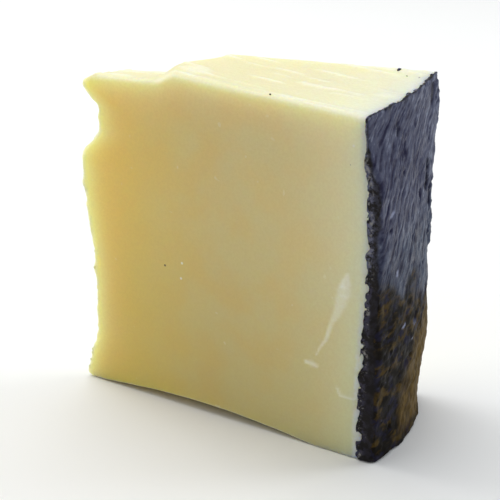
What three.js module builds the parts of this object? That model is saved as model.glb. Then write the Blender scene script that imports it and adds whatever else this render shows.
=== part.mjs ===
// A wedge of hard cheese cut from a tall wheel with a black rind, standing on its lower cut face.
// Millimetres, +Z up. +X runs from the broken nose, near the wheel's centre, out to the rind, and
// the cut faces look towards -Y and +Y. The origin is the middle of the base of the bounding box.
import * as THREE from "three";
import { mergeVertices } from "three/addons/utils/BufferGeometryUtils.js";

// Driving dimensions.
const WHEEL_RADIUS = 165; // the wheel that the wedge was cut from
const WHEEL_HEIGHT = 90;
const NEAR_FACE = { y: -16.07, slope: -0.116 }; // the cut towards -Y: its y at x = 0, and dy/dx
const FAR_FACE = { y: 10.95, slope: 0.25 }; // the cut towards +Y
const TOP_FACE = { z: 90.05, slope: -0.038 }; // the upper cut: its z at x = 0, and dz/dx
const GAP = 0.3; // clearance between the paste and the rind

// The upper cut breaks down to a ledge over the nose. The ledge starts further from the nose at the
// far side (skew), and goes on falling towards the nose and towards the far side.
const LEDGE = { from: -12, full: -19, skew: 0.12, depth: 2.4, noseFall: 0.1, farFall: 0.15 };

// Halfway across, a tongue of the upper cut reaches a little further out over the ledge.
const TONGUE = { behind: 11, width: 7, reach: 4.6 };

// The lower cut arches up between the nose and a flat foot under the rind.
const ARCH = { from: -45.4, to: 29, rise: 2.5, sharpness: 1.2 };

// The rind's outer face follows the wheel about its crown line.
const RIND = { crownX: 44.65, crownY: -4, nearY: -21.3, farY: 21.7 };

// Near its -Y edge it swells, below a chipped top corner, and tapers again towards the base.
const SWELLING = { height: 3.6, from: 84, full: 70, taperFrom: 57, taper: 0.04, endY: 6 };

// Near its +Y edge it falls back, more below a shoulder, and most at a shaved corner by the base.
const FALL_BACK = {
  startY: 0,
  top: 0.6,
  shoulder: { from: 75, full: 45, depth: 2 },
  shaved: { from: 21, full: 1, depth: 4.2 },
};

// Low down it stands out again, a little to the -Y side of its middle.
const TOE = { y: -8, width: 10, height: 12, out: 1.1 };

// The rind is thin at the upper cut, under the chipped corner, and thickens towards the base.
const RIND_THICKNESS = {
  top: 0.9,
  side: { from: 84, full: 70, more: 3.1 },
  foot: { from: 50, full: 20, more: 1.2 },
};

// The broken nose: x at the turning points of its two upright edges, from the base to the top.
const NEAR_NOSE = [
  { z: 0, x: -47.35 },
  { z: 17, x: -42.6 },
  { z: 31, x: -41.9 },
  { z: 55, x: -44.3 },
  { z: 60, x: -44.1 },
  { z: 64, x: -44.9 },
  { z: 72.5, x: -37.9 },
  { z: 77.5, x: -38 },
  { z: 84, x: -42.5 },
  { z: 88, x: -38.4 },
];
const FAR_NOSE = [
  { z: 0, x: -40.85 },
  { z: 13, x: -36.35 },
  { z: 29, x: -38.85 },
  { z: 46, x: -34.5 },
  { z: 61, x: -38.2 },
  { z: 72, x: -32.5 },
  { z: 81, x: -37.5 },
  { z: 87, x: -35.5 },
];

// How many rows of faces each solid has along X, Y and Z.
const PASTE_ROWS = [18, 4, 24];
const RIND_ROWS = [1, 8, 24];

const lerp = THREE.MathUtils.lerp;
const clamp = THREE.MathUtils.clamp;

// 0 at one value and 1 at another, smooth between them and level beyond them.
function ramp(value, from, full) {
  const t = clamp((value - from) / (full - from), 0, 1);
  return t * t * (3 - 2 * t);
}

// x on an outline given by its turning points, level at each of them.
function alongTurns(turns, z) {
  const next = turns.findIndex((turn) => turn.z > z);
  if (next === 0) return turns[0].x;
  if (next < 0) return turns[turns.length - 1].x;
  const [a, b] = [turns[next - 1], turns[next]];
  return lerp(a.x, b.x, ramp(z, a.z, b.z));
}

// x of the rind's outer face at a height, and at the y where the wheel's side passes.
function rindOuter(y, z) {
  const roundness = (y - RIND.crownY) ** 2 / (2 * WHEEL_RADIUS);
  const nearShare = clamp((SWELLING.endY - y) / (SWELLING.endY - RIND.nearY), 0, 1);
  const taper = SWELLING.taper * Math.max(0, SWELLING.taperFrom - z);
  const swelling = SWELLING.height * ramp(z, SWELLING.from, SWELLING.full) - taper;
  const farShare = Math.max(0, (y - FALL_BACK.startY) / (RIND.farY - FALL_BACK.startY)) ** 2;
  const { top, shoulder, shaved } = FALL_BACK;
  const lower = shoulder.depth * ramp(z, shoulder.from, shoulder.full);
  const lowest = shaved.depth * ramp(z, shaved.from, shaved.full);
  const toe = TOE.out * ramp(z, TOE.height, 0) * Math.exp(-(((y - TOE.y) / TOE.width) ** 2));
  return RIND.crownX - roundness + swelling * nearShare + toe - (top + lower + lowest) * farShare;
}

function rindThickness(z) {
  const { top, side, foot } = RIND_THICKNESS;
  return top + side.more * ramp(z, side.from, side.full) + foot.more * ramp(z, foot.from, foot.full);
}

// y at a share v of the way from the near cut face to the far one.
function between(x, v) {
  return lerp(NEAR_FACE.y + NEAR_FACE.slope * x, FAR_FACE.y + FAR_FACE.slope * x, v);
}

function topZ(x, y) {
  const behind = y - NEAR_FACE.y;
  const tongue = TONGUE.reach * Math.exp(-(((behind - TONGUE.behind) / TONGUE.width) ** 2));
  const shift = LEDGE.skew * behind - tongue;
  const full = LEDGE.full + shift;
  const onLedge = ramp(x, LEDGE.from + shift, full);
  const fall = LEDGE.noseFall * Math.max(0, full - x) + LEDGE.farFall * behind;
  return TOP_FACE.z + TOP_FACE.slope * x - onLedge * (LEDGE.depth + fall);
}

function baseZ(x) {
  const t = clamp((x - ARCH.from) / (ARCH.to - ARCH.from), 0, 1);
  return ARCH.rise * Math.sin(Math.PI * t) ** ARCH.sharpness;
}

// A closed solid from a unit box. Its y and z limits are the cuts, and its x limits come from start
// and end, which take the y of the same point at the rind, the height, and the share v.
function wedgeSolid([alongX, alongY, alongZ], start, end) {
  const box = new THREE.BoxGeometry(1, 1, 1, alongX, alongY, alongZ);
  const points = box.getAttribute("position");
  for (let i = 0; i < points.count; i++) {
    const [u, v, w] = [points.getX(i) + 0.5, points.getY(i) + 0.5, points.getZ(i) + 0.5];
    const rindY = lerp(RIND.nearY, RIND.farY, v);
    const xAt = (z) => lerp(start(rindY, z, v), end(rindY, z), u);
    const zAt = (x) => lerp(baseZ(x), topZ(x, between(x, v)), w);
    const z = zAt(xAt(WHEEL_HEIGHT * w));
    const x = xAt(z);
    points.setXYZ(i, x, between(x, v), z);
  }
  box.deleteAttribute("normal");
  box.deleteAttribute("uv");
  const solid = mergeVertices(box);
  solid.computeVertexNormals();
  return solid;
}

function makePaste() {
  const nose = (y, z, v) => lerp(alongTurns(NEAR_NOSE, z), alongTurns(FAR_NOSE, z), v);
  const rindSide = (y, z) => rindOuter(y, z) - rindThickness(z);
  const material = new THREE.MeshStandardMaterial({ color: 0xd9c98b, roughness: 0.55, metalness: 0 });
  const mesh = new THREE.Mesh(wedgeSolid(PASTE_ROWS, nose, rindSide), material);
  mesh.name = "paste";
  return mesh;
}

function makeRind() {
  const inner = (y, z) => rindOuter(y, z) - rindThickness(z) + GAP;
  const material = new THREE.MeshStandardMaterial({ color: 0x2b2a30, roughness: 0.5, metalness: 0 });
  const mesh = new THREE.Mesh(wedgeSolid(RIND_ROWS, inner, rindOuter), material);
  mesh.name = "rind";
  return mesh;
}

const wedge = new THREE.Group();
wedge.add(makePaste(), makeRind());

// The turns of the outlines leave the box a little off centre, so the group is set back over it.
const bounds = new THREE.Box3().setFromObject(wedge, true);
const middle = bounds.getCenter(new THREE.Vector3());
wedge.position.set(-middle.x, -middle.y, -bounds.min.z);

export default wedge;
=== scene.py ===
"""A wedge of pale hard cheese with a black rind, standing on a pale floor in soft studio light.

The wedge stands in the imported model's frame: metres, +Z up, +X from the broken nose out to the
rind. Its shapes are worked out in millimetres, and become metres where a mesh is made.
"""

from __future__ import annotations

import logging
import math
from dataclasses import dataclass, field
from enum import Enum
from typing import Callable

import bmesh
import bpy
import numpy as np
from mathutils import Matrix, Vector


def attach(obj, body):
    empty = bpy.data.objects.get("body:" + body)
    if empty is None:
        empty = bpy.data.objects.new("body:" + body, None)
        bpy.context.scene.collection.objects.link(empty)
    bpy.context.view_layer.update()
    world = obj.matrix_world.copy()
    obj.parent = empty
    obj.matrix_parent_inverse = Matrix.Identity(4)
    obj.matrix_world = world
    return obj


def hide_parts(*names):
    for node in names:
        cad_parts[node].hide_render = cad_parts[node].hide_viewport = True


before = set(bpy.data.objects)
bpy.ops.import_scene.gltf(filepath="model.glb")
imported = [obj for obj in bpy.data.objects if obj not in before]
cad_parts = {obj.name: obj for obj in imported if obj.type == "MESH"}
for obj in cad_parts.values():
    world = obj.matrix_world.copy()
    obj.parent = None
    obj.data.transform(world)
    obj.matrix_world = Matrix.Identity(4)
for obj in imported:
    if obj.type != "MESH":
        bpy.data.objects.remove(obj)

LOG = logging.getLogger("cheese_wedge")
MM = 0.001
Socket = bpy.types.NodeSocket
Values = np.ndarray
Colour = tuple[float, float, float]  # red, green and blue
Place = tuple[float, float, float]  # x, y and z
Change = tuple[float, float, float]  # an amount, where it starts and where it is full
Stroke = tuple[tuple[float, float, float], ...]  # x, z and half the width at points along it
Outline = tuple[tuple[float, float], ...]  # height and x at turning points, from the lowest up


class Body(Enum):
    """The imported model's rigid bodies."""

    ROOT = "root"


class Slot(Enum):
    """The record's material slots."""

    PASTE = "paste"
    RIND = "rind"


class Mark(Enum):
    """What a mesh's points say about the surface, each from 0 to 1."""

    BROKEN = "broken"  # torn rather than cut
    DRY = "dry"  # how near the rind, over a wide band
    SKIN = "skin"  # how near the rind, over a narrow band
    CORE = "core"  # how near the wheel's moist middle
    GLOW = "glow"  # by a lit edge, where light comes through
    RIM = "rim"  # on a rounded edge, where a highlight is painted, and along the knife's ridges on the upper cut, which are painted paler
    UPPER = "upper"  # on the upper cut
    SMEAR = "smear"  # on the upper cut, painted paler: partly a drier cut face, partly a painted sheen from the overhead light
    RIDGE = "ridge"  # high in the rind's relief, painted lighter as a sheen, while the low parts are painted darker as shade
    SECTION = "section"  # where the knife cut through the rind
    INNER = "inner"  # in the rind's inner half, by the cheese
    PIT_SHADE = "pit_shade"  # down in one of the rind's pits, which are painted darker as shade
    FOOT = "foot"  # on the rind's brown lower part
    SHAVED = "shaved"  # on the rind's shaved corner
    GLINT = "glint"  # where a blue-white glint is painted on the rind as a highlight
    STRAY = "stray"  # where crumbs of rind may lie


# ---------------------------------------------------------------------------------------- numbers


def ramp(value: Values, start: float | Values, full: float | Values) -> Values:
    """Gives 0 at one value and 1 at another, smooth between them and level beyond them.

    Args:
        value: The values to read.
        start: Where the result is 0.
        full: Where the result is 1. It may be below start.

    Returns:
        Numbers from 0 to 1.
    """
    t = np.clip((value - start) / (full - start), 0.0, 1.0)
    return t * t * (3.0 - 2.0 * t)


def lerp(a: float | Values, b: float | Values, share: Values) -> Values:
    """Mixes a and b, with share 0 giving a and 1 giving b."""
    return a + (b - a) * share


def along_turns(turns: Outline, z: Values) -> Values:
    """Reads an outline given by its turning points, level at each of them.

    Args:
        turns: The turning points.
        z: The heights to read at.

    Returns:
        x at each height.
    """
    heights = np.array([turn[0] for turn in turns])
    xs = np.array([turn[1] for turn in turns])
    after = np.clip(np.searchsorted(heights, z, side="right"), 1, len(turns) - 1)
    return lerp(xs[after - 1], xs[after], ramp(z, heights[after - 1], heights[after]))


@dataclass(frozen=True)
class Noise:
    """Smooth random values through space, from -1 to 1, and the same on each run."""

    seed: int

    PRIMES = (73856093, 19349663, 83492791)  # large primes, so that the axes don't repeat
    SEED_STEP = 2654435761
    MIXERS = (2246822519, 3266489917)  # odd numbers that spread each bit over the word
    WORD = 0xFFFFFFFF  # 32 bits

    def _corner(self, cell: Values) -> Values:
        """Gives the random value that belongs to each whole-numbered corner.

        Args:
            cell: Whole numbers, three for each corner.

        Returns:
            One value for each corner, from -1 to 1.
        """
        primes = np.array(self.PRIMES, dtype=np.int64)
        word = (cell * primes).sum(axis=-1) + self.seed * self.SEED_STEP
        for shift, mixer in zip((15, 13), self.MIXERS):
            word = (word ^ (word >> shift)) * mixer & self.WORD
        word ^= word >> 16
        return word / (self.WORD // 2) - 1.0

    def at(self, points: Values, size: float | Place) -> Values:
        """Reads the noise at points.

        Args:
            points: Places in millimetres, one row each.
            size: The width of the noise's lumps in millimetres, along each axis if three.

        Returns:
            One value for each point.
        """
        place = points / np.asarray(size)
        low = np.floor(place).astype(np.int64)
        t = place - low
        t = t * t * t * (t * (6.0 * t - 15.0) + 10.0)
        total = np.zeros(len(points))
        for corner in range(8):
            step = np.array([corner & 1, corner >> 1 & 1, corner >> 2])
            weight = np.where(step == 1, t, 1.0 - t).prod(axis=-1)
            total += weight * self._corner(low + step)
        return total

    def rough(self, points: Values, size: float | Place, octaves: int) -> Values:
        """Adds up octaves, each half as wide and half as strong as the one before.

        Args:
            points: Places in millimetres, one row each.
            size: The width of the widest lumps.
            octaves: How many to add.

        Returns:
            One value for each point, about -1 to 1.
        """
        wide = np.asarray(size, dtype=float)
        layers = [0.5**i * self.at(points + 17.3 * i, wide * 0.5**i) for i in range(octaves)]
        return sum(layers) / 1.3


def changed(value: Values, change: Change) -> Values:
    """Gives a change's amount, brought in between its two ends, at each value."""
    amount, start, full = change
    return amount * ramp(value, start, full)


def put(name: str, data: bpy.types.ID) -> bpy.types.Object:
    """Puts a new object in the scene.

    Args:
        name: The object's name.
        data: Its mesh, light or camera.

    Returns:
        The object, at the origin.
    """
    item = bpy.data.objects.new(name, data)
    bpy.context.scene.collection.objects.link(item)
    return item


def look_from(azimuth: float, elevation: float) -> Vector:
    """Gives the direction from the wedge to a place seen at two angles in degrees."""
    a, e = math.radians(azimuth), math.radians(elevation)
    return Vector((math.sin(a) * math.cos(e), -math.cos(a) * math.cos(e), math.sin(e)))


# ------------------------------------------------------------------------------------------- form


@dataclass(frozen=True)
class WedgeForm:
    """The wedge's surfaces in millimetres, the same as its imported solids'."""

    wheel_radius: float = 165.0
    wheel_height: float = 90.0
    near_face: tuple[float, float] = (-16.07, -0.116)  # its y at x = 0, and dy/dx
    far_face: tuple[float, float] = (10.95, 0.25)
    top_face: tuple[float, float] = (90.05, -0.038)  # its z at x = 0, and dz/dx
    ledge_from: float = -12.0
    ledge_full: float = -19.0
    ledge_skew: float = 0.12
    ledge_depth: float = 2.4
    ledge_nose_fall: float = 0.1
    ledge_far_fall: float = 0.15
    tongue_behind: float = 11.0
    tongue_width: float = 7.0
    tongue_reach: float = 4.6
    arch_from: float = -45.4
    arch_to: float = 29.0
    arch_rise: float = 2.5
    arch_sharpness: float = 1.2
    rind_crown: tuple[float, float] = (44.65, -4.0)  # x and y where it stands out most
    rind_near_y: float = -21.3
    rind_far_y: float = 21.7
    swelling: Change = (3.6, 84.0, 70.0)
    swelling_end_y: float = 6.0
    taper: float = 0.04
    taper_from: float = 57.0
    fall_back: float = 0.6
    shoulder: Change = (2.0, 75.0, 45.0)
    shaved_corner: Change = (4.2, 21.0, 1.0)
    toe: Change = (1.1, 12.0, 0.0)
    toe_y: float = -8.0
    toe_width: float = 10.0
    thin_top: float = 0.9
    thick_side: Change = (3.1, 84.0, 70.0)
    thick_foot: Change = (1.2, 50.0, 20.0)
    near_nose: Outline = (
        (0.0, -47.35),
        (17.0, -42.6),
        (31.0, -41.9),
        (55.0, -44.3),
        (60.0, -44.1),
        (64.0, -44.9),
        (72.5, -37.9),
        (77.5, -38.0),
        (84.0, -42.5),
        (88.0, -38.4),
    )
    far_nose: Outline = (
        (0.0, -40.85),
        (13.0, -36.35),
        (29.0, -38.85),
        (46.0, -34.5),
        (61.0, -38.2),
        (72.0, -32.5),
        (81.0, -37.5),
        (87.0, -35.5),
    )

    def near_y(self, x: Values) -> Values:
        """Gives y on the cut face towards -Y."""
        return self.near_face[0] + self.near_face[1] * x

    def between(self, x: Values, v: Values) -> Values:
        """Gives y at a share v of the way from the near cut face to the far one."""
        return lerp(self.near_y(x), self.far_face[0] + self.far_face[1] * x, v)

    def thickness(self, x: Values) -> Values:
        """Gives the distance between the two cut faces."""
        return self.between(x, 1.0) - self.between(x, 0.0)

    def nose(self, z: Values, v: Values) -> Values:
        """Gives x on the broken nose."""
        return lerp(along_turns(self.near_nose, z), along_turns(self.far_nose, z), v)

    def ledge_shift(self, y: Values) -> Values:
        """Gives how much further along the ledge starts than it does by the near face."""
        behind = y - self.near_face[0]
        tongue = self.tongue_reach * np.exp(-(((behind - self.tongue_behind) / self.tongue_width) ** 2))
        return self.ledge_skew * behind - tongue

    def on_ledge(self, x: Values, y: Values) -> Values:
        """Says how far down onto the ledge a place on the upper cut is, from 0 to 1."""
        shift = self.ledge_shift(y)
        return ramp(x, self.ledge_from + shift, self.ledge_full + shift)

    def top_z(self, x: Values, y: Values) -> Values:
        """Gives z on the upper cut and the ledge.

        Args:
            x: Places along the wedge.
            y: Places across it.

        Returns:
            The heights.
        """
        full = self.ledge_full + self.ledge_shift(y)
        towards_far = self.ledge_far_fall * (y - self.near_face[0])
        fall = self.ledge_nose_fall * np.maximum(0.0, full - x) + towards_far
        plane = self.top_face[0] + self.top_face[1] * x
        return plane - self.on_ledge(x, y) * (self.ledge_depth + fall)

    def base_z(self, x: Values) -> Values:
        """Gives z on the arched lower cut."""
        t = np.clip((x - self.arch_from) / (self.arch_to - self.arch_from), 0.0, 1.0)
        return self.arch_rise * np.abs(np.sin(math.pi * t)) ** self.arch_sharpness

    def rind_outer(self, y: Values, z: Values) -> Values:
        """Gives x on the rind's outer face.

        Args:
            y: Places across the rind, from its near edge to its far one.
            z: Heights.

        Returns:
            x at each place.
        """
        crown_x, crown_y = self.rind_crown
        roundness = (y - crown_y) ** 2 / (2.0 * self.wheel_radius)
        near_width = self.swelling_end_y - self.rind_near_y
        near_share = np.clip((self.swelling_end_y - y) / near_width, 0.0, 1.0)
        swelling = changed(z, self.swelling) - self.taper * np.maximum(0.0, self.taper_from - z)
        far_share = np.maximum(0.0, y / self.rind_far_y) ** 2
        fall_back = self.fall_back + changed(z, self.shoulder) + changed(z, self.shaved_corner)
        toe = changed(z, self.toe) * np.exp(-(((y - self.toe_y) / self.toe_width) ** 2))
        return crown_x - roundness + swelling * near_share + toe - fall_back * far_share

    def rind_thickness(self, z: Values) -> Values:
        """Gives the rind's thickness at a height."""
        return self.thin_top + changed(z, self.thick_side) + changed(z, self.thick_foot)

    def rind_inner(self, y: Values, z: Values) -> Values:
        """Gives x where the paste ends and the rind begins."""
        return self.rind_outer(y, z) - self.rind_thickness(z)

    def point(
        self,
        share: Values,
        start: Callable[[Values, Values, Values], Values],
        end: Callable[[Values, Values, Values], Values],
    ) -> Values:
        """Turns shares of the way along, across and up the wedge into places.

        Args:
            share: Three shares for each point.
            start: x where the first share is 0, from y at the rind, z and the second share.
            end: The same where the first share is 1.

        Returns:
            One place in millimetres for each point.
        """
        u, v, w = share.T
        rind_y = lerp(self.rind_near_y, self.rind_far_y, v)

        def x_at(z: Values) -> Values:
            """Gives x at a height."""
            return lerp(start(rind_y, z, v), end(rind_y, z, v), u)

        x = x_at(self.wheel_height * w)
        z = lerp(self.base_z(x), self.top_z(x, self.between(x, v)), w)
        x = x_at(z)
        return np.stack([x, self.between(x, v), z], axis=1)


# ----------------------------------------------------------------------------------------- meshes


@dataclass
class Shell:
    """A closed box of square faces that bends into a wedge or a rind.

    Its rows of faces are closer together along the box's edges, which are then rounded.
    """

    rows: tuple[int, int, int]
    cell: Values = field(init=False)
    quads: Values = field(init=False)

    EDGE_ROWS = (0.0, 0.42, 0.73, 1.0)  # how far across a rounded edge each of its rows is

    def __post_init__(self) -> None:
        """Numbers the box's points and lists its faces, all of them looking outwards."""
        count = np.array(self.rows) + 1
        place = np.indices(tuple(count))
        last = np.array(self.rows).reshape(3, 1, 1, 1)
        skin = ((place == 0) | (place == last)).any(axis=0)
        number = np.full(tuple(count), -1)
        number[skin] = np.arange(skin.sum())
        self.cell = np.argwhere(skin)
        self.quads = np.concatenate([self._side(number, axis, end) for axis in range(3) for end in (0, -1)])

    @staticmethod
    def _side(number: Values, axis: int, end: int) -> Values:
        """Lists the faces of one side of the box.

        Args:
            number: The number of each point, by its row along each axis.
            axis: The axis that the side is square to.
            end: 0 for the side where that axis starts, and -1 for the other.

        Returns:
            Four point numbers for each face.
        """
        grid = number.take(end, axis=axis)
        corners = [grid[:-1, :-1], grid[1:, :-1], grid[1:, 1:], grid[:-1, 1:]]
        outward = (axis == 1) == (end == 0)
        order = corners if outward else corners[::-1]
        return np.stack([corner.ravel() for corner in order], axis=1)

    def shares(self, low: Values, high: Values) -> tuple[Values, Values]:
        """Spaces the rows out and rounds the edges.

        Args:
            low: The rounding where each axis starts, as a share of that axis, for each point.
            high: The rounding where each axis ends.

        Returns:
            Three shares for each point, and how far round an edge each point is, from 0 to 1.
        """
        rows = np.array(self.rows)
        edge_rows = len(self.EDGE_ROWS) - 1
        edge = np.array(self.EDGE_ROWS)
        inner = (self.cell - edge_rows) / (rows - 2 * edge_rows)
        share = low + inner * (1.0 - low - high)
        from_start = edge[np.minimum(self.cell, edge_rows)]
        from_end = edge[np.minimum(rows - self.cell, edge_rows)]
        share = np.where(self.cell < edge_rows, low * from_start, share)
        share = np.where(rows - self.cell < edge_rows, 1.0 - high * from_end, share)
        core = np.clip(share, low, 1.0 - high)
        reach = (share - core) / np.where(share < 0.5, low, high)
        length = np.maximum(np.linalg.norm(reach, axis=1), 1e-9)
        pushed = reach / length[:, None]
        rim = (1.0 - np.abs(pushed).max(axis=1)) / (1.0 - math.sqrt(0.5))
        return core + pushed * np.where(share < 0.5, low, high), np.clip(rim, 0.0, 1.0)

    def normals(self, points: Values) -> Values:
        """Gives the direction that the surface faces at each point.

        Args:
            points: The places of the shell's points.

        Returns:
            One unit vector for each point.
        """
        a, b, c, d = (points[self.quads[:, i]] for i in range(4))
        face = np.cross(c - a, d - b)
        total = np.zeros_like(points)
        for i in range(4):
            for axis in range(3):
                total[:, axis] += np.bincount(self.quads[:, i], face[:, axis], len(points))
        return total / np.maximum(np.linalg.norm(total, axis=1, keepdims=True), 1e-12)

    def make(self, name: str, points: Values, marks: dict[Mark, Values]) -> bpy.types.Object:
        """Makes the piece.

        Args:
            name: The piece's name.
            points: The places of its points in millimetres.
            marks: What each point says about the surface.

        Returns:
            The new object, linked to the scene.
        """
        mesh = bpy.data.meshes.new(name)
        mesh.from_pydata((points * MM).tolist(), [], self.quads.tolist())
        mesh.shade_smooth()
        for mark, values in marks.items():
            layer = mesh.attributes.new(mark.value, "FLOAT", "POINT")
            layer.data.foreach_set("value", np.clip(values, 0.0, 1.0).astype(np.float32))
        mesh.update()
        return put(name, mesh)


# ---------------------------------------------------------------------------------------- finishes


class Graph:
    """A node tree, with short ways to add nodes and join them."""

    def __init__(self, tree: bpy.types.NodeTree) -> None:
        """Takes the tree that nodes are added to."""
        self.tree = tree

    def add(self, kind: str, inputs: dict[str | int, object], **settings: object) -> bpy.types.Node:
        """Adds a node.

        Args:
            kind: The node's type.
            inputs: A value or a socket to join for each input.
            **settings: The node's own properties.

        Returns:
            The node.
        """
        node = self.tree.nodes.new(kind)
        for key, value in settings.items():
            setattr(node, key, value)
        for key, value in inputs.items():
            self.feed(node.inputs[key], value)
        return node

    def feed(self, socket: Socket, value: object) -> None:
        """Joins a socket to an input, or sets the input's own value."""
        if isinstance(value, Socket):
            self.tree.links.new(value, socket)
        else:
            socket.default_value = value

    def maths(self, operation: str, a: object, b: object) -> Socket:
        """Adds a Math node and gives its result."""
        return self.add("ShaderNodeMath", {0: a, 1: b}, operation=operation).outputs[0]

    def height_of(self, place: Socket) -> Socket:
        """Gives a place's height."""
        return self.add("ShaderNodeSeparateXYZ", {0: place}).outputs["Z"]


class Shader(Graph):
    """A material's node tree."""

    def __init__(self, name: str) -> None:
        """Starts a material with a Principled shader and the object's own coordinates."""
        self.material = bpy.data.materials.new(name)
        self.material.use_nodes = True
        super().__init__(self.material.node_tree)
        self.surface = self.tree.nodes["Principled BSDF"]
        self.coords = self.tree.nodes.new("ShaderNodeTexCoord").outputs["Object"]

    def mark(self, mark: Mark) -> Socket:
        """Reads one of the mesh's marks."""
        return self.add("ShaderNodeAttribute", {}, attribute_name=mark.value).outputs["Fac"]

    def band(self, value: object, low: float, high: float, top: float = 1.0) -> Socket:
        """Turns a range of values into 0 to top, smoothly.

        Args:
            value: What to read.
            low: The value that gives 0.
            high: The value that gives top.
            top: The most that comes out.

        Returns:
            The result's socket.
        """
        ends = {"Value": value, "From Min": low, "From Max": high, "To Min": 0.0, "To Max": top}
        return self.add("ShaderNodeMapRange", ends, interpolation_type="SMOOTHSTEP").outputs["Result"]

    def placed(self, stretch: Place, turn: Place = (0.0, 0.0, 0.0)) -> Socket:
        """Gives the object's coordinates turned, then divided along each axis.

        Args:
            stretch: How many times longer a pattern becomes along each turned axis.
            turn: Angles in degrees.

        Returns:
            The coordinates' socket.
        """
        angles = tuple(math.radians(angle) for angle in turn)
        turned = self.add("ShaderNodeMapping", {"Vector": self.coords, "Rotation": angles}).outputs[0]
        scale = tuple(1.0 / times for times in stretch)
        return self.add("ShaderNodeMapping", {"Vector": turned, "Scale": scale}).outputs[0]

    def noise(
        self,
        size: float,
        detail: float = 2.0,
        rough: float = 0.5,
        coords: Socket | None = None,
        warp: float = 0.0,
    ) -> Socket:
        """Adds a noise pattern.

        Args:
            size: The width of its lumps in millimetres.
            detail: How many finer layers it has.
            rough: How strong the finer layers are.
            coords: Coordinates, if not the object's own.
            warp: How much the pattern is distorted.

        Returns:
            The pattern's socket, about 0.5 on average.
        """
        inputs = {
            "Vector": coords or self.coords,
            "Scale": 1.0 / (size * MM),
            "Detail": detail,
            "Roughness": rough,
            "Distortion": warp,
        }
        return self.add("ShaderNodeTexNoise", inputs).outputs["Fac"]

    def mix(self, amount: object, a: object, b: object, kind: str = "MIX") -> Socket:
        """Blends two colours.

        Args:
            amount: How much of the second shows.
            a: The first colour or its socket.
            b: The second.
            kind: The way that they blend.

        Returns:
            The result's socket.
        """
        node = self.add("ShaderNodeMix", {}, data_type="RGBA", blend_type=kind, clamp_factor=True)
        self.feed(node.inputs["Factor"], amount)
        for name, value in (("A", a), ("B", b)):
            socket = next(s for s in node.inputs if s.name == name and s.type == "RGBA")
            self.feed(socket, value if isinstance(value, Socket) else (*value, 1.0))
        return next(s for s in node.outputs if s.type == "RGBA")

    def bump(self, height: object, depth: float, normal: object = None) -> Socket:
        """Adds a bump.

        Args:
            height: The pattern, from 0 to 1.
            depth: How deep the pattern is in millimetres.
            normal: Another bump's result, to lay this one over.

        Returns:
            The normal's socket.
        """
        inputs = {"Height": height, "Distance": depth * MM, "Strength": 1.0}
        if normal is not None:
            inputs["Normal"] = normal
        return self.add("ShaderNodeBump", inputs).outputs["Normal"]

    def spots(self, places: tuple[Place, ...], radius: float) -> Socket:
        """Gives 1 close to any of some places, and 0 away from them.

        Args:
            places: The places in millimetres.
            radius: How far each spot reaches in millimetres.

        Returns:
            The spots' socket.
        """
        total: object = 0.0
        for place in places:
            centre = tuple(c * MM for c in place)
            apart = self.add("ShaderNodeVectorMath", {0: self.coords, 1: centre}, operation="DISTANCE")
            near = self.band(apart.outputs["Value"], radius * MM, 0.5 * radius * MM)
            total = self.maths("MAXIMUM", near, total)
        return total


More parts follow.
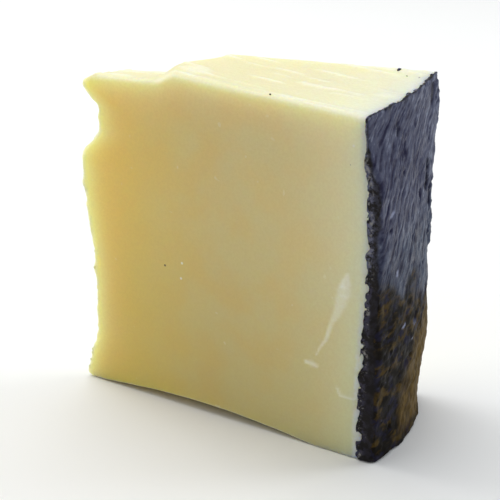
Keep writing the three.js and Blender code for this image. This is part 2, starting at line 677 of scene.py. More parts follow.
@dataclass(frozen=True)
class PasteFinish:
    """Pale hard cheese: waxy where it was cut, granular where it broke."""

    name: str = "hard_cheese"
    warm: Colour = (0.78, 0.595, 0.233)
    cool: Colour = (0.75, 0.625, 0.285)
    core: Colour = (0.90, 0.68, 0.14)
    dry: Colour = (0.89, 0.90, 0.64)
    glow: Colour = (0.97, 1.0, 0.60)
    skin: Colour = (0.86, 0.86, 0.70)
    # the upper cut's colours: partly a drier cut face, partly a painted sheen from the overhead light
    upper: Colour = (0.86, 0.81, 0.50)
    dry_top_and_sheen: Colour = (0.88, 0.90, 0.72)
    # painted highlight on the rounded edges; the knife's ridges on the upper cut are painted with it too
    rim: Colour = (0.94, 0.92, 0.70)
    fat: Colour = (0.98, 0.97, 0.84)
    crystal: Colour = (0.93, 0.90, 0.74)
    grain: Colour = (0.55, 0.40, 0.14)
    painted_low_shade: Colour = (0.82, 0.82, 0.70)  # painted shade: the lower part's colour is multiplied by it, darker towards the bottom
    # painted shade: a dark spot stands in for the shade inside a small hole
    pinhole_shade: Colour = (0.10, 0.06, 0.03)
    pinholes: tuple[Place, ...] = ((-17.9, -14.0, 39.0),)
    pinhole_radius: float = 0.4
    crystals: tuple[Place, ...] = ((-12.3, -14.65, 40.8), (-12.8, -14.6, 36.5), (39.7, -20.7, 81.2))
    crystal_radius: float = 0.45
    cut_roughness: float = 0.40
    waxiness: float = 0.14
    torn_roughness: float = 0.2
    specular: float = 0.4
    knife_depth: float = 0.05
    grain_depth: float = 0.07
    crumb_depth: float = 0.5
    translucency: float = 0.95
    scatter_radius: Colour = (1.0, 0.8, 0.35)
    scatter_depth: float = 0.010

    def colour(self, shader: Shader) -> Socket:
        """Mixes the cheese's colour from its marks and its grain, with painted shade low down, a painted
        sheen on the upper cut and painted highlights on its edges.

        Args:
            shader: The material to add nodes to.

        Returns:
            The colour's socket.
        """
        patches = shader.band(shader.noise(14.0, 3.0), 0.35, 0.65)
        colour = shader.mix(patches, self.warm, self.cool)
        for mark, tint in ((Mark.CORE, self.core), (Mark.DRY, self.dry)):
            colour = shader.mix(shader.mark(mark), colour, tint)
        # painted shade: the paste is painted darker towards the bottom
        low = shader.band(shader.height_of(shader.coords), 0.07, 0.0, 0.85)
        colour = shader.mix(low, colour, self.painted_low_shade, "MULTIPLY")
        colour = shader.mix(shader.mark(Mark.GLOW), colour, self.glow)
        # painted sheen: the upper cut is painted paler, partly as a drier face and partly as the overhead
        # light's sheen
        upper = shader.mix(shader.mark(Mark.DRY), self.upper, self.dry_top_and_sheen)
        colour = shader.mix(shader.mark(Mark.UPPER), colour, upper)
        # painted highlight along the rounded edges, and paler knife ridges on the upper cut
        colour = shader.mix(shader.mark(Mark.RIM), colour, self.rim)
        ragged = shader.maths("MULTIPLY", shader.mark(Mark.SKIN), shader.band(shader.noise(2.2), 0.25, 0.6))
        colour = shader.mix(ragged, colour, self.skin)
        colour = shader.mix(shader.mark(Mark.SMEAR), colour, self.fat)
        colour = shader.mix(shader.spots(self.crystals, self.crystal_radius), colour, self.crystal)
        grain = shader.band(shader.noise(0.7, 3.0, 0.7), 0.3, 0.7)
        colour = shader.mix(shader.band(grain, 0.0, 1.0, 0.10), colour, self.grain)
        specks = shader.band(shader.noise(1.9, 0.0), 0.83, 0.89, 0.25)
        colour = shader.mix(specks, colour, self.crystal)
        # painted shade of a small hole
        return shader.mix(shader.spots(self.pinholes, self.pinhole_radius), colour, self.pinhole_shade)

    def build(self) -> bpy.types.Material:
        """Makes the material.

        Returns:
            The material.
        """
        shader = Shader(self.name)
        surface = shader.surface
        shader.feed(surface.inputs["Base Color"], self.colour(shader))
        torn = shader.mark(Mark.BROKEN)
        waxy = shader.band(shader.noise(5.0, 3.0), 0.3, 0.7, self.waxiness)
        rough = shader.maths("ADD", waxy, self.cut_roughness)
        rougher = shader.maths("MULTIPLY", torn, self.torn_roughness)
        shader.feed(surface.inputs["Roughness"], shader.maths("ADD", rough, rougher))
        surface.inputs["Specular IOR Level"].default_value = self.specular
        surface.inputs["Subsurface Weight"].default_value = self.translucency
        surface.inputs["Subsurface Radius"].default_value = self.scatter_radius
        surface.inputs["Subsurface Scale"].default_value = self.scatter_depth
        knife = shader.noise(0.9, 2.0, 0.5, shader.placed((30.0, 1.0, 1.0)), 0.2)
        normal = shader.bump(knife, self.knife_depth)
        normal = shader.bump(shader.noise(0.8, 4.0, 0.65), self.grain_depth, normal)
        crumb = shader.maths("MULTIPLY", torn, shader.noise(1.3, 4.0, 0.6))
        normal = shader.bump(crumb, self.crumb_depth, normal)
        shader.feed(surface.inputs["Normal"], normal)
        return shader.material


@dataclass(frozen=True)
class RindFinish:
    """A black coated rind: satin and blue-grey above, brown and mottled near the base."""

    name: str = "black_rind"
    # partly the rind's own streaks, partly painted sheen on the ridges and painted shade in the valleys
    valley: Colour = (0.021, 0.020, 0.053)
    ridge: Colour = (0.078, 0.085, 0.140)
    # painted highlight on the highest parts of the relief
    crest_highlight: Colour = (0.22, 0.24, 0.32)
    green_grey: Colour = (0.66, 0.77, 0.74)
    section: Colour = (0.014, 0.012, 0.012)
    section_sheen: Colour = (0.135, 0.140, 0.205)
    foot_sheen: Colour = (0.048, 0.045, 0.070)
    # painted highlight: pale glints on the cut section's inner half
    section_glint: Colour = (0.26, 0.25, 0.24)
    # painted highlight: the blue-white glints on the outer face
    glint: Colour = (0.26, 0.28, 0.40)
    # painted shade in the rind's pits
    pit_shade: Colour = (0.008, 0.008, 0.026)
    foot_dark: Colour = (0.006, 0.004, 0.002)
    foot_brown: Colour = (0.066, 0.040, 0.007)
    # painted reflection: soft bluish dabs of reflected light on the brown foot
    foot_reflection: Colour = (0.013, 0.012, 0.028)
    shaved: Colour = (0.18, 0.115, 0.036)
    lean: Place = (36.0, 0.0, 0.0)  # how the fibres are turned, in degrees
    fibre_depth: float = 0.16
    grain_depth: float = 0.10
    smoothest: float = 0.30
    worn_roughness: float = 0.25
    foot_roughness: float = 0.25
    specular: float = 0.1

    def colour(self, shader: Shader) -> Socket:
        """Mixes the rind's colour from its relief, its height and its cut sections, with painted sheen,
        shade and highlights.

        Args:
            shader: The material to add nodes to.

        Returns:
            The colour's socket.
        """
        slanted = shader.placed((1.0, 1.0, 5.0), self.lean)
        fibres = shader.noise(0.9, 3.0, 0.6, slanted, 0.3)
        cloudy = shader.maths("MULTIPLY", shader.noise(6.0, 3.0), 0.8)
        mottled = shader.noise(1.3, 2.0, 0.5, shader.placed((1.0, 1.8, 1.0)))
        mottled = shader.maths("SUBTRACT", shader.maths("MULTIPLY", mottled, 0.9), 0.45)
        cloudy = shader.maths("ADD", cloudy, mottled)
        place = shader.add("ShaderNodeSeparateXYZ", {0: shader.coords}).outputs
        # painted sheen: the rind is painted lighter towards its far edge
        far_side_sheen = shader.band(place["Y"], 0.002, 0.018, 0.22)
        cloudy = shader.maths("ADD", cloudy, far_side_sheen)
        high = shader.maths("ADD", shader.maths("ADD", shader.mark(Mark.RIDGE), fibres), cloudy)
        # painted sheen and shade: lighter where the relief stands high, darker where it lies low, over the
        # rind's own streaks
        colour = shader.mix(shader.band(high, 1.0, 1.7), self.valley, self.ridge)
        # painted highlight on the highest parts
        colour = shader.mix(shader.band(high, 1.62, 2.1, 0.8), colour, self.crest_highlight)
        greener = shader.band(place["Z"], 0.066, 0.045, 0.8)
        colour = shader.mix(greener, colour, self.green_grey, "MULTIPLY")
        wide = shader.placed((1.0, 2.0, 1.0))
        blotches = shader.band(shader.noise(3.6, 4.0, 0.65, wide), 0.47, 0.62)
        foot = shader.mix(blotches, self.foot_dark, self.foot_brown)
        # painted reflection: bluish dabs on the foot
        reflection_dabs = shader.band(shader.noise(2.3, 3.0, 0.6, wide), 0.50, 0.64)
        foot = shader.mix(reflection_dabs, foot, self.foot_reflection)
        specks = shader.band(shader.noise(1.4, 2.0, 0.5, wide), 0.68, 0.76, 0.35)
        foot = shader.mix(specks, foot, self.ridge)
        colour = shader.mix(shader.mark(Mark.FOOT), colour, foot)
        worn = shader.mix(shader.band(fibres, 0.35, 0.7), self.foot_brown, self.shaved)
        colour = shader.mix(shader.mark(Mark.SHAVED), colour, worn)
        inner = shader.mark(Mark.INNER)
        spread = shader.maths("ADD", shader.maths("MULTIPLY", inner, 0.75), 0.25)
        patchy = shader.maths("MULTIPLY", spread, shader.band(shader.noise(1.8, 4.0, 0.7), 0.43, 0.60))
        sheen = shader.mix(shader.mark(Mark.FOOT), self.section_sheen, self.foot_sheen)
        cut = shader.mix(patchy, self.section, sheen)
        colour = shader.mix(shader.mark(Mark.SECTION), colour, cut)
        # painted highlight: pale glints on the inner half of the cut section
        shiny = shader.maths("MULTIPLY", inner, shader.band(shader.noise(1.3, 3.0, 0.7), 0.54, 0.72))
        colour = shader.mix(shiny, colour, self.section_glint)
        patches = shader.band(shader.noise(1.2, 3.0), 0.25, 0.5)
        # painted highlight: blue-white glints
        painted_glint = shader.maths("MULTIPLY", shader.mark(Mark.GLINT), patches)
        colour = shader.mix(painted_glint, colour, self.glint)
        # painted shade: the pits are painted darker
        return shader.mix(shader.mark(Mark.PIT_SHADE), colour, self.pit_shade)

    def build(self) -> bpy.types.Material:
        """Makes the material.

        Returns:
            The material.
        """
        shader = Shader(self.name)
        surface = shader.surface
        shader.feed(surface.inputs["Base Color"], self.colour(shader))
        worn = shader.band(shader.noise(3.0, 3.0), 0.3, 0.7, self.worn_roughness)
        dull = shader.maths("MULTIPLY", shader.mark(Mark.FOOT), self.foot_roughness)
        dull = shader.maths("ADD", dull, self.smoothest)
        shader.feed(surface.inputs["Roughness"], shader.maths("ADD", worn, dull))
        surface.inputs["Specular IOR Level"].default_value = self.specular
        slanted = shader.placed((1.0, 1.0, 4.0), self.lean)
        calm = shader.maths("SUBTRACT", 1.0, shader.mark(Mark.FOOT))
        fibres = shader.maths("MULTIPLY", shader.noise(0.7, 3.0, 0.6, slanted, 0.2), calm)
        grain = shader.noise(0.8, 3.0, 0.6, shader.placed((1.0, 1.6, 1.0)))
        normal = shader.bump(grain, self.grain_depth, shader.bump(fibres, self.fibre_depth))
        shader.feed(surface.inputs["Normal"], normal)
        return shader.material


@dataclass(frozen=True)
class FloorFinish:
    """A plain pale studio floor."""

    name: str = "pale_floor"
    tint: Colour = (0.91, 0.91, 0.90)
    cloud: Colour = (0.93, 0.93, 0.92)

    def build(self) -> bpy.types.Material:
        """Makes the material.

        Returns:
            The material.
        """
        shader = Shader(self.name)
        share = shader.band(shader.noise(400.0, 2.0), 0.3, 0.7, 0.5)
        shader.feed(shader.surface.inputs["Base Color"], shader.mix(share, self.tint, self.cloud))
        shader.surface.inputs["Roughness"].default_value = 0.9
        return shader.material


# ----------------------------------------------------------------------------------------- pieces


def enlist(piece: bpy.types.Object, material: bpy.types.Material) -> None:
    """Gives a piece its material and its body, and reports it.

    Args:
        piece: The finished piece.
        material: Its material.
    """
    if not piece.data.materials:
        piece.data.materials.append(material)
    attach(piece, Body.ROOT.value)
    LOG.info("%s: %d faces, %s", piece.name, len(piece.data.polygons), material.name)


@dataclass
class Paste:
    """The cheese itself: two upright cuts, an upper and a lower one, and a broken nose."""

    form: WedgeForm
    name: str = "cheese_paste"
    rows: tuple[int, int, int] = (166, 50, 164)
    cut_rounding: float = 0.55
    brow_rounding: float = 1.9
    nose_rounding: float = 1.1
    length: float = 88.0
    width: float = 40.0
    height: float = 88.0
    tuck: float = 0.25  # how far it reaches into the rind, as a share of the rind's thickness
    streak_length: float = 8.0
    streak_width: float = 1.3
    burr_behind: float = 2.6
    burr_width: float = 0.6
    top_glow_reach: float = 3.5
    nose_glow_reach: float = 3.4
    dry_reach: float = 13.0
    wave_height: float = 0.14
    lump_height: float = 0.50
    crumb_height: float = 0.30
    torn_swell: float = 0.25
    drag_height: float = 0.20
    fat_height: float = 0.30
    smear: Stroke = (
        (37.9, 48.6, 0.7),
        (37.5, 46.4, 1.5),
        (36.8, 44.0, 1.9),
        (35.9, 41.2, 1.7),
        (34.7, 37.9, 1.1),
        (33.2, 35.2, 0.65),
        (32.3, 32.4, 0.65),
        (31.4, 30.2, 0.5),
        (29.7, 27.7, 0.35),
        (28.8, 25.8, 0.2),
    )
    dash: Stroke = ((25.6, 23.0, 0.6), (27.2, 22.9, 0.85), (28.7, 22.6, 0.6))
    hook: Stroke = ((34.7, 18.2, 0.4), (35.6, 16.4, 0.5), (39.6, 16.4, 0.3))

    def _roundings(self, shell: Shell) -> tuple[Values, Values]:
        """Gives how much each point's edges are rounded.

        Args:
            shell: The box that becomes the paste.

        Returns:
            The rounding where each axis starts and where it ends, as shares of the axis.
        """
        nominal = shell.cell / np.array(shell.rows)
        place = nominal * np.array([self.length, self.width, self.height])
        nicks = Noise(3).rough(place, 7.0, 3)
        towards_nose = ramp(nominal[:, 0], 0.09, 0.0)
        radius = self.cut_rounding * (1.0 + 0.45 * nicks) + towards_nose * (0.35 + 0.3 * nicks)
        nose = np.full(len(place), self.nose_rounding) * (1.0 + 0.3 * nicks)
        across = self.form.thickness((nominal[:, 0] - 0.5) * self.length)
        far = radius / across
        base = radius / self.height
        brow = self.brow_rounding * (1.0 + 0.2 * nicks) * lerp(1.0, 0.55, ramp(nominal[:, 0], 0.93, 1.0))
        near = lerp(far, brow / across, ramp(nominal[:, 2], 0.85, 0.97))
        top = lerp(base, brow / self.height, ramp(nominal[:, 1], 0.35, 0.08))
        tuck = self.tuck * self.form.rind_thickness(place[:, 2]) / self.length
        low = np.stack([nose / self.length, near, base], axis=1)
        high = np.stack([tuck, far, top], axis=1)
        return low, high

    def _streaks(self, points: Values) -> Values:
        """Gives the low ridges that the knife dragged along the upper cut.

        Args:
            points: Places in millimetres.

        Returns:
            1 along the top of a ridge, 0 between them.
        """
        x = points[:, 0]
        behind = points[:, 1] - self.form.near_y(x)
        wander = 1.5 * np.sin(x / 19.0)
        lines = np.stack([x / self.streak_length, behind + wander, 0.0 * x], axis=1)
        ridges = ramp(Noise(14).at(lines, self.streak_width), 0.2, 0.75)
        broken = ramp(Noise(15).at(lines, 3.0), -0.7, 0.2)
        burr = np.exp(-(((behind - self.burr_behind) / self.burr_width) ** 2)) * broken
        return np.maximum(ridges, burr)

    def _stroke_at(self, points: Values, path: Stroke) -> Values:
        """Says how far inside a stroke drawn on the near face each point is.

        Args:
            points: Places in millimetres.
            path: The stroke.

        Returns:
            1 along the middle of the stroke, 0 outside it.
        """
        flat = points[:, [0, 2]]
        best = np.zeros(len(points))
        for (xa, za, wa), (xb, zb, wb) in zip(path, path[1:]):
            a, step = np.array([xa, za]), np.array([xb - xa, zb - za])
            t = np.clip((flat - a) @ step / (step @ step), 0.0, 1.0)
            apart = np.linalg.norm(flat - a - t[:, None] * step, axis=1)
            best = np.maximum(best, ramp(apart / lerp(wa, wb, t), 1.4, 0.4))
        return best

    def _marks(self, points: Values, normals: Values, share: Values, rim: Values) -> dict[Mark, Values]:
        """Works out what each point says about the surface.

        Args:
            points: Places in millimetres.
            normals: The surface's directions there.
            share: The points' shares along, across and up.
            rim: How far round an edge each point is.

        Returns:
            The marks' values.
        """
        form = self.form
        x, y, z = points.T
        up = form.top_z(x, y)
        from_rind = form.rind_inner(lerp(form.rind_near_y, form.rind_far_y, share[:, 1]), z) - x
        from_nose = share[:, 0] * self.length
        on_top = ramp(up - z, 0.9, 0.2)
        ledge = form.on_ledge(x, y) * on_top
        torn = np.maximum(ramp(from_nose, 1.9, 0.6), 0.25 * ledge)
        near = ramp(-normals[:, 1], 0.8, 0.95)
        smear = self._stroke_at(points, self.smear)
        head = smear * (0.65 + 0.35 * Noise(8).at(points, 1.3)) * ramp(z, 33.0, 46.0)
        faint = np.maximum(self._stroke_at(points, self.dash), self._stroke_at(points, self.hook))
        fat = near * np.maximum.reduce([head, 0.45 * smear, 0.5 * faint])
        by_top = np.exp(-np.maximum(up - z, 0.0) / self.top_glow_reach)
        by_top = by_top * lerp(0.9, 0.6, ramp(x, -10.0, 40.0))
        lit = np.maximum(np.exp(-from_nose / self.nose_glow_reach), by_top)
        # painted highlight: the rounded edges are painted paler, and so are the knife's ridges on the upper
        # cut
        pale = np.maximum(rim * (1.0 - 0.5 * torn) * 0.55, 0.9 * on_top * self._streaks(points))
        on_cut = ramp(np.abs(normals[:, 1:]).max(axis=1), 0.8, 0.95)
        return {
            Mark.BROKEN: torn,
            Mark.DRY: 0.9 * np.exp(-np.maximum(from_rind, 0.0) / self.dry_reach),
            Mark.SKIN: ramp(from_rind, 1.7, 0.5) * lerp(0.35, 1.0, ramp(z, 50.0, 20.0)),
            Mark.CORE: ramp(x, 5.0, -45.0),
            Mark.GLOW: 0.9 * lit,
            Mark.RIM: pale,
            Mark.UPPER: on_top,
            Mark.SMEAR: fat,
            Mark.STRAY: on_cut * ramp(from_rind, 6.0, 1.0) * (from_rind > 0.6),
        }

    def _relief(self, points: Values, normals: Values, marks: dict[Mark, Values]) -> Values:
        """Gives how far the surface stands out from the plain form.

        Args:
            points: Places in millimetres.
            normals: The surface's directions there.
            marks: The points' marks.

        Returns:
            Heights in millimetres.
        """
        torn = marks[Mark.BROKEN]
        x, y, z = points.T
        waves = self.wave_height * Noise(11).rough(points, 13.0, 2)
        lumps = self.torn_swell + self.lump_height * Noise(12).rough(points, 6.5, 2)
        lumps = lumps + self.crumb_height * Noise(13).rough(points, 2.1, 2)
        drag = self.drag_height * self._streaks(points) * ramp(normals[:, 2], 0.9, 0.98)
        fat = self.fat_height * marks[Mark.SMEAR]
        clear = ramp(self.form.rind_inner(y, z) - x, 0.6, 1.6)
        return (waves + lumps * torn + drag + fat) * clear

    def build(self) -> bpy.types.Object:
        """Builds the mesh.

        Returns:
            The piece.
        """
        form = self.form
        shell = Shell(self.rows)
        share, rim = shell.shares(*self._roundings(shell))
        points = form.point(
            share,
            lambda y, z, v: form.nose(z, v),
            lambda y, z, v: form.rind_inner(y, z) + self.tuck * form.rind_thickness(z),
        )
        normals = shell.normals(points)
        marks = self._marks(points, normals, share, rim)
        points = points + normals * self._relief(points, normals, marks)[:, None]
        points[:, 2] = np.maximum(points[:, 2], 0.0)
        return shell.make(self.name, points, marks)


@dataclass
class Rind:
    """The wheel's coated side, cut through at both edges and scarred with pits and fibres."""

    form: WedgeForm
    name: str = "cheese_rind"
    rows: tuple[int, int, int] = (16, 132, 262)
    rounding: float = 1.5
    cut_rounding: float = 0.45
    width: float = 43.0
    height: float = 88.0
    slant: float = 0.45  # dy/dz of its fibres below the bend, and more above it
    bend: float = 0.009
    bend_from: float = 50.0
    foot_top: float = 43.0  # how high its brown foot reaches at y = 0
    foot_tilt: float = 0.4
    streak_height: float = 0.18
    thread_height: float = 0.10
    grain_height: float = 0.14
    swell_height: float = 0.28
    knot_height: float = 0.40
    # Each is y, z, half the width, half the height and the depth, which is below 0 for a bump.
    pits: tuple[tuple[float, float, float, float, float], ...] = (
        (16.4, 84.5, 2.0, 3.0, 1.5),
        (21.9, 80.5, 2.8, 6.5, -0.7),
        (13.0, 67.2, 2.2, 1.9, 1.2),
        (12.2, 62.8, 2.1, 2.6, 1.2),
        (17.0, 58.0, 2.6, 3.4, 1.3),
        (21.6, 54.5, 1.6, 1.2, -1.2),
        (-7.5, 82.0, 1.0, 2.2, 0.6),
        (4.0, 29.5, 1.6, 1.6, 0.7),
        (15.0, 33.0, 1.6, 2.0, 0.8),
        (22.2, 50.0, 5.0, 8.0, -1.0),
    )
    # Each is y, z, half the width and half the height.
    glints: tuple[tuple[float, float, float, float], ...] = (
        (-15.7, 63.3, 1.5, 0.6),
        (-10.2, 47.3, 1.3, 0.8),
        (4.4, 28.6, 1.3, 0.7),
        (-6.0, 30.5, 1.2, 0.5),
        (1.5, 25.0, 1.0, 0.4),
    )

    def _inner(self, y: Values, z: Values) -> Values:
        """Gives x on the rind's ragged inner side."""
        place = np.stack([0.0 * z, y, z], axis=1)
        ragged = 0.35 * Noise(21).rough(place, 3.4, 2)
        bites = 0.4 * ramp(Noise(22).at(place, 4.2), 0.45, 0.85)
        thin = ramp(self.form.rind_thickness(z), 1.0, 3.0)
        return self.form.rind_inner(y, z) + ragged * lerp(0.7, 1.0, thin) - bites * thin

    def _relief(self, points: Values, outward: Values, section: Values) -> tuple[Values, Values, Values]:
        """Gives how far the surface stands out, how high in its fibres each point is, and its pits.

        Args:
            points: Places in millimetres.
            outward: 1 on the outer face, 0 elsewhere.
            section: 1 on the cut sections, 0 elsewhere.

        Returns:
            Heights in millimetres, shares of the relief, and 1 down in a pit.
        """
        x, y, z = points.T
        warp = 1.1 * Noise(31).rough(points, 7.0, 2)
        lean = self.slant * z + self.bend * np.maximum(0.0, z - self.bend_from) ** 2
        across = y - lean + warp
        fibre = np.stack([across, z / 4.0, x / 4.0], axis=1)
        coarse = 1.0 - np.abs(Noise(32).at(fibre, 1.5)) * 1.6
        fine = 1.0 - np.abs(Noise(33).at(fibre, 0.75)) * 1.6
        foot = ramp(z + self.foot_tilt * y, self.foot_top, self.foot_top - 11.0)
        knots = Noise(34).rough(points, (2.6, 4.2, 2.4), 3)
        streaks = self.streak_height * coarse + self.thread_height * fine
        streaks = streaks + self.grain_height * Noise(38).rough(points, 1.4, 2)
        swells = self.swell_height * Noise(35).rough(points, 6.0, 2)
        face = lerp(streaks, 0.04 * coarse + self.knot_height * knots, foot) + swells
        uneven = Noise(39).rough(points, 2.0, 3)
        hollows = np.zeros(len(points))
        pitted = np.zeros(len(points))
        for pit_y, pit_z, half_y, half_z, depth in self.pits:
            apart = np.hypot((y - pit_y) / half_y, (z - pit_z) / half_z) + 0.45 * uneven
            hollows -= depth * ramp(apart, 1.2, 0.3)
            pitted = np.maximum(pitted, min(max(depth, 0.0), 1.0) * ramp(apart, 1.1, 0.7))
        hollows = np.maximum(hollows, -0.55 * self.form.rind_thickness(z))
        holes = -0.5 * ramp(Noise(36).at(points, 2.3), 0.72, 0.95)
        height = outward * (face - lerp(0.2, 0.1, foot) + hollows + holes)
        height = np.maximum(height, -0.5 * self.form.rind_thickness(z))
        cut = section * (0.05 + 0.42 * Noise(37).rough(points, 2.2, 3))
        ridge = 0.5 + 0.8 * (0.6 * (coarse - 0.4) + 0.4 * (fine - 0.4)) + holes
        return height + cut, lerp(ridge, 0.5 + 0.5 * knots, foot), outward * pitted

    def _glints_at(self, y: Values, z: Values) -> Values:
        """Gives 1 where a blue-white glint is painted on the outer face, 0 away from there.

        Args:
            y: Places across the rind.
            z: Their heights.

        Returns:
            One value for each place.
        """
        apart = [np.hypot((y - gy) / half_y, (z - gz) / half_z) for gy, gz, half_y, half_z in self.glints]
        return ramp(np.minimum.reduce(apart), 1.3, 0.4)

    def build(self) -> bpy.types.Object:
        """Builds the mesh.

        Returns:
            The piece.
        """
        form = self.form
        shell = Shell(self.rows)
        nominal = shell.cell / np.array(shell.rows)
        place = nominal * np.array([4.0, self.width, self.height])
        nicks = 1.0 + 0.8 * Noise(41).rough(place, 4.2, 3)
        depth = form.rind_thickness(nominal[:, 2] * form.wheel_height)
        corner = 1.2 * ramp(nominal[:, 2], 0.17, 0.04) * ramp(nominal[:, 1], 0.3, 0.7)
        edge = np.minimum(self.rounding * np.maximum(nicks, 0.3) + corner, 0.5 * depth)
        cut = self.cut_rounding * np.maximum(nicks, 0.3)
        outer = lerp(edge, np.minimum(cut, edge), ramp(nominal[:, 2], 0.97, 1.0)) / depth
        low = np.stack([0.08 / depth, edge / self.width, cut / self.height], axis=1)
        high = np.stack([outer, edge / self.width, cut / self.height], axis=1)
        share, _ = shell.shares(low, high)
        points = form.point(share, lambda y, z, v: self._inner(y, z), lambda y, z, v: form.rind_outer(y, z))
        normals = shell.normals(points)
        frayed = 0.35 * Noise(43).rough(points, 3.0, 3)
        outward = ramp(share[:, 0] + frayed, 0.5, 0.9) * ramp(normals[:, 0] + frayed, 0.1, 0.45)
        from_side = np.minimum(share[:, 1], 1.0 - share[:, 1]) * self.width
        from_top = (1.0 - share[:, 2]) * self.height
        section = ramp(np.minimum(from_side, from_top), 1.4, 0.5) * (1.0 - outward)
        height, ridge, pit_shade = self._relief(points, outward, section)
        points = points + normals * height[:, None]
        points[:, 2] = np.maximum(points[:, 2], 0.0)
        y, z = points[:, 1], points[:, 2]
        wander = 6.0 * Noise(42).rough(points, 7.0, 3)
        marks = {
            Mark.RIDGE: ridge,
            Mark.SECTION: section,
            Mark.INNER: section * ramp(share[:, 0] + 0.02 * wander, 0.55, 0.3),
            Mark.PIT_SHADE: pit_shade,
            Mark.FOOT: ramp(z + self.foot_tilt * y + wander, self.foot_top, self.foot_top - 8.0),
            Mark.SHAVED: ramp(y + 1.1 * wander - 0.2 * z, -13.0, -3.0)
            * ramp(z + 1.2 * wander - 0.5 * y, 24.0, 14.0)
            * ramp(z - 0.6 * wander, 0.0, 5.0),
            Mark.GLINT: outward * self._glints_at(y + 0.25 * wander, z + 0.15 * wander),
        }
        return shell.make(self.name, points, marks)


@dataclass
class Scatter:
    """Small bits that a geometry node tree scatters over part of another piece."""

    name: str
    where: Mark
    density: float  # bits in each square millimetre
    threshold: float  # the mark's value above which bits lie
    smallest: float  # half the width of a bit, in millimetres
    largest: float
    squash: float  # a bit's thickness, as a share of its width
    jitter: float
    seed: int
    lowest: float = 0.9  # the height in millimetres above which bits lie

    GRAIN_SCALE = 1800.0  # lumps along each metre of the noise that roughens the bits

    def _tree(self, material: bpy.types.Material) -> bpy.types.NodeTree:
        """Builds the node tree.

        Args:
            material: The bits' material.

        Returns:
            The tree, with named inputs for the bits' number, sizes and seed.
        """
        tree = bpy.data.node_groups.new(self.name, "GeometryNodeTree")
        face = tree.interface
        face.new_socket("Geometry", in_out="INPUT", socket_type="NodeSocketGeometry")
        for label in ("Density", "Threshold", "Lowest", "Smallest", "Largest", "Squash", "Jitter"):
            face.new_socket(label, in_out="INPUT", socket_type="NodeSocketFloat")
        face.new_socket("Seed", in_out="INPUT", socket_type="NodeSocketInt")
        face.new_socket("Geometry", in_out="OUTPUT", socket_type="NodeSocketGeometry")
        graph = Graph(tree)
        entry = graph.add("NodeGroupInput", {}).outputs
        mask = graph.add("GeometryNodeInputNamedAttribute", {"Name": self.where.value}, data_type="FLOAT")
        inside = graph.maths("GREATER_THAN", mask.outputs[0], entry["Threshold"])
        height = graph.height_of(graph.add("GeometryNodeInputPosition", {}).outputs[0])
        above = graph.maths("GREATER_THAN", height, entry["Lowest"])
        thick = graph.maths("MULTIPLY", entry["Density"], graph.maths("MULTIPLY", inside, above))
        spread = graph.add(
            "GeometryNodeDistributePointsOnFaces",
            {"Mesh": entry["Geometry"], "Density": thick, "Seed": entry["Seed"]},
        ).outputs
        bit = graph.add("GeometryNodeMeshIcoSphere", {"Radius": 1.0, "Subdivisions": 2})
        sizes = {2: entry["Smallest"], 3: entry["Largest"], "Seed": entry["Seed"]}
        size = graph.add("FunctionNodeRandomValue", sizes, data_type="FLOAT").outputs[1]
        low = graph.maths("MULTIPLY", size, entry["Squash"])
        scale = graph.add("ShaderNodeCombineXYZ", {"X": size, "Y": size, "Z": low})
        bits = graph.add(
            "GeometryNodeInstanceOnPoints",
            {
                "Points": spread["Points"],
                "Instance": bit.outputs["Mesh"],
                "Rotation": spread["Rotation"],
                "Scale": scale.outputs[0],
            },
        )
        real = graph.add("GeometryNodeRealizeInstances", {"Geometry": bits.outputs[0]})
        grain = graph.add("ShaderNodeTexNoise", {"Scale": self.GRAIN_SCALE}).outputs["Color"]
        centred = graph.add("ShaderNodeVectorMath", {0: grain, 1: (0.5, 0.5, 0.5)}, operation="SUBTRACT")
        jitter = {0: centred.outputs[0], "Scale": entry["Jitter"]}
        shake = graph.add("ShaderNodeVectorMath", jitter, operation="SCALE")
        shaken = {"Geometry": real.outputs[0], "Offset": shake.outputs[0]}
        moved = graph.add("GeometryNodeSetPosition", shaken)
        finish = {"Geometry": moved.outputs[0], "Material": material}
        dressed = graph.add("GeometryNodeSetMaterial", finish)
        graph.add("NodeGroupOutput", {0: dressed.outputs[0]})
        return tree

    def build(self, host: bpy.types.Object, material: bpy.types.Material) -> bpy.types.Object:
        """Scatters the bits and turns them into a plain mesh.

        Args:
            host: The piece that they lie on.
            material: Their material.

        Returns:
            The piece.
        """
        tree = self._tree(material)
        maker = put(self.name + "_maker", host.data.copy())
        modifier = maker.modifiers.new("scatter", "NODES")
        modifier.node_group = tree
        values = {
            "Density": self.density / MM**2,
            "Threshold": self.threshold,
            "Lowest": self.lowest * MM,
            "Smallest": self.smallest * MM,
            "Largest": self.largest * MM,
            "Squash": self.squash,
            "Jitter": self.jitter * MM,
            "Seed": self.seed,
        }
        for item in tree.interface.items_tree:
            if item.in_out == "INPUT" and item.name in values:
                modifier[item.identifier] = values[item.name]
        seen = maker.evaluated_get(bpy.context.evaluated_depsgraph_get())
        mesh = bpy.data.meshes.new_from_object(seen)
        bpy.data.objects.remove(maker)
        mesh.name = self.name
        mesh.shade_smooth()
        return put(self.name, mesh)


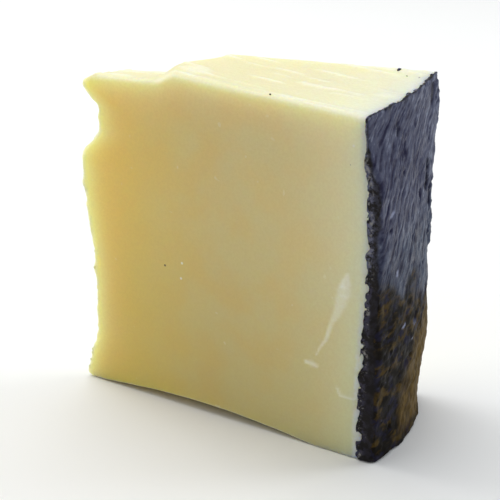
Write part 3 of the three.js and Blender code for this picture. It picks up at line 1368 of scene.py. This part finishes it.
@dataclass
class Flecks:
    """The few crumbs of rind that lie on the upper cut."""

    form: WedgeForm
    name: str = "rind_flecks"
    # Each is x, y, half the length, half the width and the heading in degrees.
    flecks: tuple[tuple[float, float, float, float, float], ...] = (
        (33.3, 17.3, 1.2, 0.5, 95.0),
        (37.1, 13.8, 0.20, 0.14, 0.0),
        (40.2, 14.2, 0.30, 0.10, 60.0),
        (15.7, -16.6, 0.22, 0.14, 10.0),
    )

    def build(self) -> bpy.types.Object:
        """Builds the mesh of flattened lumps.

        Returns:
            The piece.
        """
        shape = bmesh.new()
        for x, y, half_length, half_width, heading in self.flecks:
            top = float(self.form.top_z(np.array([x]), np.array([y]))[0])
            place = Matrix.Translation(Vector((x, y, top + 0.15 * half_width)) * MM)
            turn = Matrix.Rotation(math.radians(heading), 4, "Z")
            size = Matrix.Diagonal((half_length * MM, half_width * MM, 0.7 * half_width * MM, 1.0))
            bmesh.ops.create_icosphere(shape, subdivisions=3, radius=1.0, matrix=place @ turn @ size)
        shape.verts.ensure_lookup_table()
        points = np.array([vert.co for vert in shape.verts]) / MM
        push = 0.16 * Noise(51).rough(points, 0.7, 2)
        for vert, amount in zip(shape.verts, push):
            vert.co += vert.normal * float(amount) * MM
        mesh = bpy.data.meshes.new(self.name)
        shape.to_mesh(mesh)
        shape.free()
        mesh.shade_smooth()
        return put(self.name, mesh)


# ----------------------------------------------------------------------------------------- studio


@dataclass(frozen=True)
class Lamp:
    """A soft square lamp that looks at the wedge, in degrees, metres and watts."""

    name: str
    azimuth: float
    elevation: float
    distance: float
    width: float
    power: float
    tint: Colour = (1.0, 1.0, 1.0)

    def build(self, target: Vector) -> bpy.types.Object:
        """Hangs the lamp.

        Args:
            target: The place that it looks at.

        Returns:
            The lamp.
        """
        light = bpy.data.lights.new(self.name, "AREA")
        light.shape = "SQUARE"
        light.size = self.width
        light.energy = self.power
        light.color = self.tint
        lamp = put(self.name, light)
        back = look_from(self.azimuth, self.elevation)
        turn = back.to_track_quat("Z", "Y").to_matrix().to_4x4()
        lamp.matrix_world = Matrix.Translation(target + back * self.distance) @ turn
        return lamp


@dataclass
class Studio:
    """The pale floor, the soft lamps and the camera."""

    target: Place = (0.13, -1.35, 41.86)
    azimuth: float = 30.171
    elevation: float = 21.384
    roll: float = -1.515
    distance: float = 442.53
    lens: float = 123.525
    sensor_width: float = 36.0
    clip_start: float = 0.01
    floor_width: float = 6.0
    ambient: Colour = (0.93, 0.96, 1.0)
    ambient_power: float = 0.29
    lamps: tuple[Lamp, ...] = (
        Lamp("overhead", -130.0, 72.0, 0.9, 0.9, 6.7, (1.0, 1.0, 0.99)),
        Lamp("left", -98.0, 20.0, 0.8, 0.5, 2.0, (1.0, 1.0, 0.98)),
        Lamp("rim", 130.0, 25.0, 0.8, 0.35, 1.75, (0.90, 0.95, 1.0)),
        Lamp("front_fill", -5.0, 45.0, 1.4, 0.9, 1.25, (1.0, 0.97, 0.90)),
    )

    def build_floor(self) -> bpy.types.Object:
        """Lays the floor.

        Returns:
            The floor.
        """
        half = self.floor_width / 2.0
        mesh = bpy.data.meshes.new("floor")
        corners = [(-half, -half, 0.0), (half, -half, 0.0), (half, half, 0.0), (-half, half, 0.0)]
        mesh.from_pydata(corners, [], [(0, 1, 2, 3)])
        mesh.materials.append(FloorFinish().build())
        floor = put("floor", mesh)
        return floor

    def build_light(self) -> None:
        """Hangs the lamps and sets the even light of the room."""
        for lamp in self.lamps:
            lamp.build(Vector(self.target) * MM)
        world = bpy.data.worlds.new("room")
        world.use_nodes = True
        sky = world.node_tree.nodes["Background"]
        sky.inputs["Color"].default_value = (*self.ambient, 1.0)
        sky.inputs["Strength"].default_value = self.ambient_power
        bpy.context.scene.world = world
        bpy.context.scene.view_settings.view_transform = "Standard"

    def build_camera(self) -> bpy.types.Object:
        """Sets up the camera.

        Returns:
            The camera.
        """
        camera = put("camera", bpy.data.cameras.new("camera"))
        camera.data.lens = self.lens
        camera.data.sensor_width = self.sensor_width
        camera.data.clip_start = self.clip_start
        roll = math.radians(self.roll)
        back = look_from(self.azimuth, self.elevation)
        level = Vector((0.0, 0.0, 1.0)).cross(back).normalized()
        upward = back.cross(level)
        right = math.cos(roll) * level + math.sin(roll) * upward
        up = -math.sin(roll) * level + math.cos(roll) * upward
        turn = Matrix((right, up, back)).transposed().to_4x4()
        place = (Vector(self.target) + back * self.distance) * MM
        camera.matrix_world = Matrix.Translation(place) @ turn
        bpy.context.scene.camera = camera
        return camera


def main() -> None:
    """Builds the studio and the wedge."""
    logging.basicConfig(level=logging.INFO, format="%(message)s")
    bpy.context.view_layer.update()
    studio = Studio()
    studio.build_camera()
    studio.build_floor()
    studio.build_light()

    form = WedgeForm()
    cheese = PasteFinish().build()
    coating = RindFinish().build()
    paste = Paste(form).build()
    enlist(paste, cheese)
    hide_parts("paste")
    rind = Rind(form).build()
    enlist(rind, coating)
    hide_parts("rind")

    crumbly = PasteFinish(name="broken_cheese", translucency=0.0).build()
    granules = Scatter(
        "paste_granules",
        Mark.BROKEN,
        density=0.22,
        threshold=0.9,
        smallest=0.15,
        largest=0.45,
        squash=0.5,
        jitter=0.25,
        seed=7,
    )
    enlist(granules.build(paste, crumbly), crumbly)
    crumbs = Scatter(
        "rind_crumbs",
        Mark.STRAY,
        density=0.006,
        threshold=0.3,
        smallest=0.06,
        largest=0.14,
        squash=0.6,
        jitter=0.1,
        seed=5,
    )
    enlist(crumbs.build(paste, coating), coating)
    enlist(Flecks(form).build(), coating)


if __name__ == "__main__":
    main()
